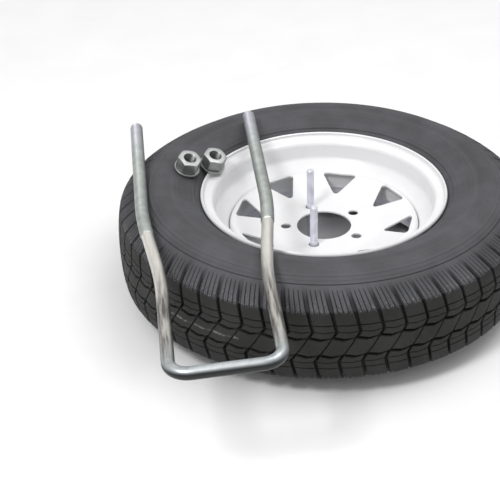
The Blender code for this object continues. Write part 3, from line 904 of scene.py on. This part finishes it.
def carrier_u_bolt(material):
    """A small U-bolt on the ground, with its legs up through two stud holes."""
    first, second = (stud_point(i) for i in CARRIER_HOLES)
    across = (second - first).normalized()
    bend, span = CARRIER_BEND_RADIUS, (second - first).length
    profile = [(0.0, h) for h in np.arange(CARRIER_HEIGHT, bend + CARRIER_RADIUS, -ROD_STEP)]
    profile += [tuple(p) for p in arc((bend, bend + CARRIER_RADIUS), bend, 180, 270, 16)]
    points = [first + across * x + Vector((0, 0, h)) for x, h in profile]
    points += [first + across * (span - x) + Vector((0, 0, h)) for x, h in reversed(profile)]
    route = Route(points, across.cross(Vector((0, 0, 1))))
    piece = bolt(
        "carrier_rod", route, CARRIER_THREAD_LENGTH, CARRIER_THREAD_PITCH, CARRIER_SHANK_RADIUS,
        CARRIER_RADIUS, CARRIER_THREAD_ROOT, CARRIER_END_CHAMFER, 24,
    )
    stand_for(piece, "carrier_u_bolt", material)


# -------- nuts and washers


def nut(side, matrix, material):
    """A heavy hexagon nut with chamfered corners, countersinks and a cut thread."""
    low = WASHER_THICKNESS + GAP
    high = low + NUT_HEIGHT
    apothem, columns = NUT_FLATS / 2, 72
    face_radius, corner_radius = apothem * 0.955, apothem / math.cos(math.pi / 6) * 0.985
    countersink, chamfer, soft = NUT_BORE_RADIUS + 0.0014, math.radians(30), 0.0004
    angle = full_turn(columns)
    from_flat = (angle - NUT_CORNER_AT) % (math.pi / 3) - math.pi / 6
    hexagon = np.minimum(apothem / np.cos(from_flat), corner_radius)
    drop = (hexagon - face_radius) * math.tan(chamfer)
    outside = [
        (countersink, high), (face_radius - soft, high), (face_radius + soft, high - soft * 0.6),
        (hexagon - soft * 0.6, high - drop + soft * 0.35), (hexagon, high - drop - soft),
        (hexagon, low + drop + soft), (hexagon - soft * 0.6, low + drop - soft * 0.35),
        (face_radius + soft, low + soft * 0.6), (face_radius - soft, low), (countersink, low),
    ]
    at, crest = screw(NUT_HEIGHT, BAR_THREAD_PITCH, columns)
    cone = countersink - np.minimum(at, NUT_HEIGHT - at)
    thread = np.maximum(NUT_BORE_RADIUS + 0.00135 * (1 - crest), cone)
    radius, height = full_rows(outside, columns)
    radius, height = np.vstack([radius, thread]), np.vstack([height, low + at])
    # Marks the bore and countersinks, which the zinc darkens as painted shade.
    bore = (radius < countersink - 0.0001) * 1.0
    piece = ring_piece(f"nut_{side}_hexagon", radius, angle, height, matrix, 28.0, bore=bore)
    stand_for(piece, f"nut_{side}", material)


def washer(side, matrix, material):
    """A flat washer with soft edges."""
    outline = [
        (WASHER_BORE_RADIUS, 0), (WASHER_RADIUS, 0), (WASHER_RADIUS, WASHER_THICKNESS),
        (WASHER_BORE_RADIUS, WASHER_THICKNESS),
    ]
    piece = turned(f"washer_{side}_ring", rounded(outline, 0.0008, 3), matrix, 64)
    stand_for(piece, f"washer_{side}", material)


def nuts_and_washers(nut_material, washer_material):
    """Each nut on its washer, tilted to lie on the sidewall."""
    for side, point in NUT_SEATS.items():
        turn = Matrix.Rotation(NUT_TILT_TOWARDS, 4, "Z")
        lean = turn @ Matrix.Rotation(NUT_TILT, 4, "Y") @ turn.inverted()
        seat = WHEEL @ Matrix.Translation(point) @ lean
        nut(side, seat, nut_material)
        washer(side, seat, washer_material)


# -------- valve


def valve_matrix():
    """From the valve's own axis, +Z towards the cap, to the row frame."""
    low, high = (Vector((radius, 0, height)) for radius, height in WELL_SLOPE)
    slope = math.atan2(high.z - low.z, high.x - low.x)
    square = Matrix.Translation((low + high) / 2) @ Matrix.Rotation(-slope, 4, "Y")
    return TO_MID @ Matrix.Rotation(VALVE_ANGLE, 4, "Z") @ square


VALVE = valve_matrix()


def valve(rubber, brass, steel, plastic, white):
    """A snap-in rubber valve with its brass tube, sprung core and dust cap."""
    def small(node, outline, material, soften=0.00015, columns=48):
        """A turned part with soft corners."""
        stand_for(turned(f"{node}_form", rounded(outline, soften, 3), VALVE, columns), node, material)

    tube_outer, thread_outer, core_bore, air_bore = 0.0030, 0.00385, 0.0026, 0.0017
    small("valve_rubber", [
        (0.0033, -0.0090), (0.0045, -0.0090), (0.0074, -0.0046), (0.0078, -0.0028), (0.0076, -0.0024),
        (0.0053, -0.0023), (0.0053, 0.0020), (0.0068, 0.0021), (0.0070, 0.0032), (0.0052, 0.0130),
        (0.0033, 0.0136),
    ], rubber, 0.0008)

    columns = 32
    thread_length = VALVE_TUBE_TOP - VALVE_THREAD_START
    at, crest = screw(thread_length, 0.0008, columns)
    thread = np.minimum(thread_outer - 0.0004 * (1 - crest), thread_outer - 0.0005 + at)
    thread = np.minimum(thread, thread_outer - 0.0005 + (thread_length - at))
    inner = [
        (thread_outer - 0.0006, VALVE_TUBE_TOP), (core_bore, VALVE_TUBE_TOP), (core_bore, 0.0125),
        (air_bore, 0.0118), (air_bore, -0.0070), (tube_outer, -0.0070), (tube_outer, 0.0140),
    ]
    radius, height = full_rows(inner, columns)
    radius, height = np.vstack([thread, radius]), np.vstack([VALVE_THREAD_START + at, height])
    piece = ring_piece("valve_tube_form", radius, full_turn(columns), height, VALVE, 28.0)
    stand_for(piece, "valve_tube", brass)

    barrel, groove = core_bore - GAP, 0.0016
    ring_low, ring_high = CORE_BOTTOM + 0.0005, CORE_SHOULDER - 0.0003
    small("valve_core_barrel", [
        (0.00085, CORE_BOTTOM), (barrel, CORE_BOTTOM), (barrel, ring_low), (groove, ring_low),
        (groove, ring_high), (barrel, ring_high), (barrel, CORE_TOP), (0.0016, CORE_TOP),
        (0.0016, CORE_SHOULDER), (0.00085, CORE_SHOULDER),
    ], brass, 0.0001)
    small("valve_core_ring", [
        (groove + 0.0002, ring_low + 0.0002), (core_bore - 0.00015, ring_low + 0.0002),
        (core_bore - 0.00015, ring_high - 0.0002), (groove + 0.0002, ring_high - 0.0002),
    ], white, 0.0002)

    collar_low, seal_top = 0.0216, CORE_BOTTOM - GAP
    seal_low = seal_top - 0.0016
    small("valve_pin", [
        (0, seal_low - 0.0010), (0.0010, seal_low - 0.0010), (0.0010, seal_low - 0.0002),
        (0.0005, seal_low - 0.0001), (0.0005, collar_low), (0.0011, collar_low + 0.0001),
        (0.0011, CORE_TOP - 0.0002), (0.0005, CORE_TOP), (0.0005, 0.0233), (0, 0.0234),
    ], brass, 0.00008, 24)
    seal = [(0.0007, seal_low), (0.0014, seal_low), (0.0014, seal_top), (0.0007, seal_top)]
    small("valve_seal", seal, rubber)
    valve_spring(CORE_SHOULDER + 0.0004, collar_low - 0.0004, steel)
    valve_cap(thread_outer + 0.0004, plastic)
    low, high = VALVE_TUBE_TOP + GAP, VALVE_ROOF - GAP
    small("valve_cap_gasket", [(0.0022, low), (0.0038, low), (0.0038, high), (0.0022, high)], rubber)


def valve_spring(low, high, material):
    """A fine coil round the pin, on a mesh of its own."""
    radius, wire, turns, steps, sides = 0.0011, 0.00014, 4, 160, 10
    angle = np.linspace(0, 2 * math.pi * turns, steps)[:, None]
    height = np.linspace(low, high, steps)[:, None]
    around = full_turn(sides)[None, :]
    points = round_z(radius + wire * np.cos(around), angle, height + wire * np.sin(around))
    piece = new_mesh("valve_spring_coil", points, capped_faces(steps, sides), VALVE, 60.0)
    stand_for(piece, "valve_spring", material)
    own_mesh(piece)


def valve_cap(bore, material):
    """A dust cap with gripping ribs round its skirt."""
    outer, foot, top, ribs, columns = 0.0053, 0.0150, 0.0262, 16, 192
    rib = 0.5 + 0.5 * np.cos(np.linspace(0, 2 * math.pi * ribs, columns, endpoint=False))
    grip = outer - 0.00045 * rib ** 2
    rows = [
        (bore, foot + 0.0002), (bore + 0.0002, foot), (outer - 0.0003, foot), (outer, foot + 0.0004),
        (outer, foot + 0.0012), (grip, foot + 0.0018), (grip, top - 0.0020), (outer - 0.0002, top - 0.0014),
        (outer - 0.0006, top - 0.0003), (outer - 0.0012, top), (0.0, top), (0.0, VALVE_ROOF),
        (bore - 0.0003, VALVE_ROOF), (bore, VALVE_ROOF - 0.0003),
    ]
    radius, height = full_rows(rows, columns)
    piece = ring_piece("valve_cap_form", radius, full_turn(columns), height, VALVE, 40.0)
    stand_for(piece, "valve_cap", material)


# -------- stage

CAMERA_AT = Vector((0.0, -1.8, 1.186))  # from the wheel's axis on the ground
CAMERA_DOWN = math.radians(32.3)
FLOOR_HALF = 6.0
FLOOR_DROP = 0.0004  # below the tyre, so that the two don't meet


def camera():
    """A long lens from the front, well above the wheel."""
    data = bpy.data.cameras.new("camera")
    data.sensor_width = 36.0
    data.lens = 101.0
    data.shift_x, data.shift_y = -0.148, 0.0018
    thing = bpy.data.objects.new("camera", data)
    thing.location = WHEEL @ CAMERA_AT
    thing.rotation_euler = (math.pi / 2 - CAMERA_DOWN, 0, 0)
    bpy.context.scene.collection.objects.link(thing)
    bpy.context.scene.camera = thing


def lamp(name, place, size, power):
    """A round soft lamp that points at the wheel."""
    data = bpy.data.lights.new(name, "AREA")
    data.shape, data.size, data.energy = "DISK", size, power
    thing = bpy.data.objects.new(name, data)
    thing.location = place
    aim = WHEEL @ Vector((-0.05, -0.05, MID)) - Vector(place)
    thing.rotation_euler = aim.to_track_quat("-Z", "Y").to_euler()
    bpy.context.scene.collection.objects.link(thing)


def studio():
    """A pale paper floor under a white sky that is brighter overhead, and two lamps."""
    look = Look("floor_paper", Roughness=0.9)
    grain = look.noise(9, 3)
    look.set(Base_Color=look.mix(look.ramp(grain, 0.3, 0.7), (0.86, 0.86, 0.86), (0.89, 0.89, 0.89)))
    corners = [(x * FLOOR_HALF, y * FLOOR_HALF, 0) for x, y in ((-1, -1), (1, -1), (1, 1), (-1, 1))]
    floor = new_mesh("floor", corners, [(0, 1, 2, 3)], Matrix.Translation((0, 0, -FLOOR_DROP)))
    floor.data.materials.append(look.owner)
    sky = Look("studio", bpy.data.worlds, "Background", Color=(1.0, 1.0, 1.0))
    upwards = sky.add("ShaderNodeSeparateXYZ", Vector=sky.coordinates["Generated"]).outputs["Z"]
    sky.set(Strength=sky.ramp(upwards, 0.0, 0.9, 0.40, 0.88))
    bpy.context.scene.world = sky.owner
    lamp("key", (-1.05, -1.35, 2.3), 0.7, 32)
    lamp("top", (0.8, 0.3, 2.5), 1.6, 18)
    bpy.context.scene.view_settings.view_transform = "Standard"


def build():
    """The stage, the materials and every piece."""
    camera()
    studio()
    white = white_paint()
    nut_zinc = zinc(
        "nut_zinc", (0.58, 0.60, 0.59), (0.40, 0.42, 0.41), (0.36, 0.52), shade=0.42, axis=NUT_AXIS,
    )
    # Painted shade: the washers take a darker copy of the nuts' zinc, for the shade under the nuts.
    washer_zinc_painted_shade = zinc("washer_zinc_painted_shade", (0.42, 0.43, 0.42), (0.26, 0.27, 0.27), (0.36, 0.52))
    rubber = plain("valve_rubber", (0.020, 0.020, 0.021), (0.034, 0.034, 0.034), (0.55, 0.72))
    brass = plain("valve_brass", (0.62, 0.46, 0.18), (0.50, 0.35, 0.13), (0.25, 0.42), 1.0)
    steel = plain("spring_steel", (0.62, 0.62, 0.62), (0.48, 0.48, 0.49), (0.22, 0.36), 1.0)
    plastic = plain("cap_plastic", (0.028, 0.028, 0.029), (0.040, 0.040, 0.040), (0.40, 0.55))
    bronze = plain("bead_wire", (0.46, 0.30, 0.16), (0.36, 0.22, 0.11), (0.30, 0.48), 1.0)
    white_plastic = plain("white_plastic", (0.80, 0.80, 0.77), (0.70, 0.70, 0.68), (0.35, 0.5))
    tyre()
    bead_wires(bronze)
    rim(white)
    disc(white)
    u_bar()
    carrier_u_bolt(zinc("carrier_zinc", (0.82, 0.83, 0.90), (0.66, 0.66, 0.74), (0.36, 0.50), 0.45))
    nuts_and_washers(nut_zinc, washer_zinc_painted_shade)
    valve(rubber, brass, steel, plastic, white_plastic)


build()
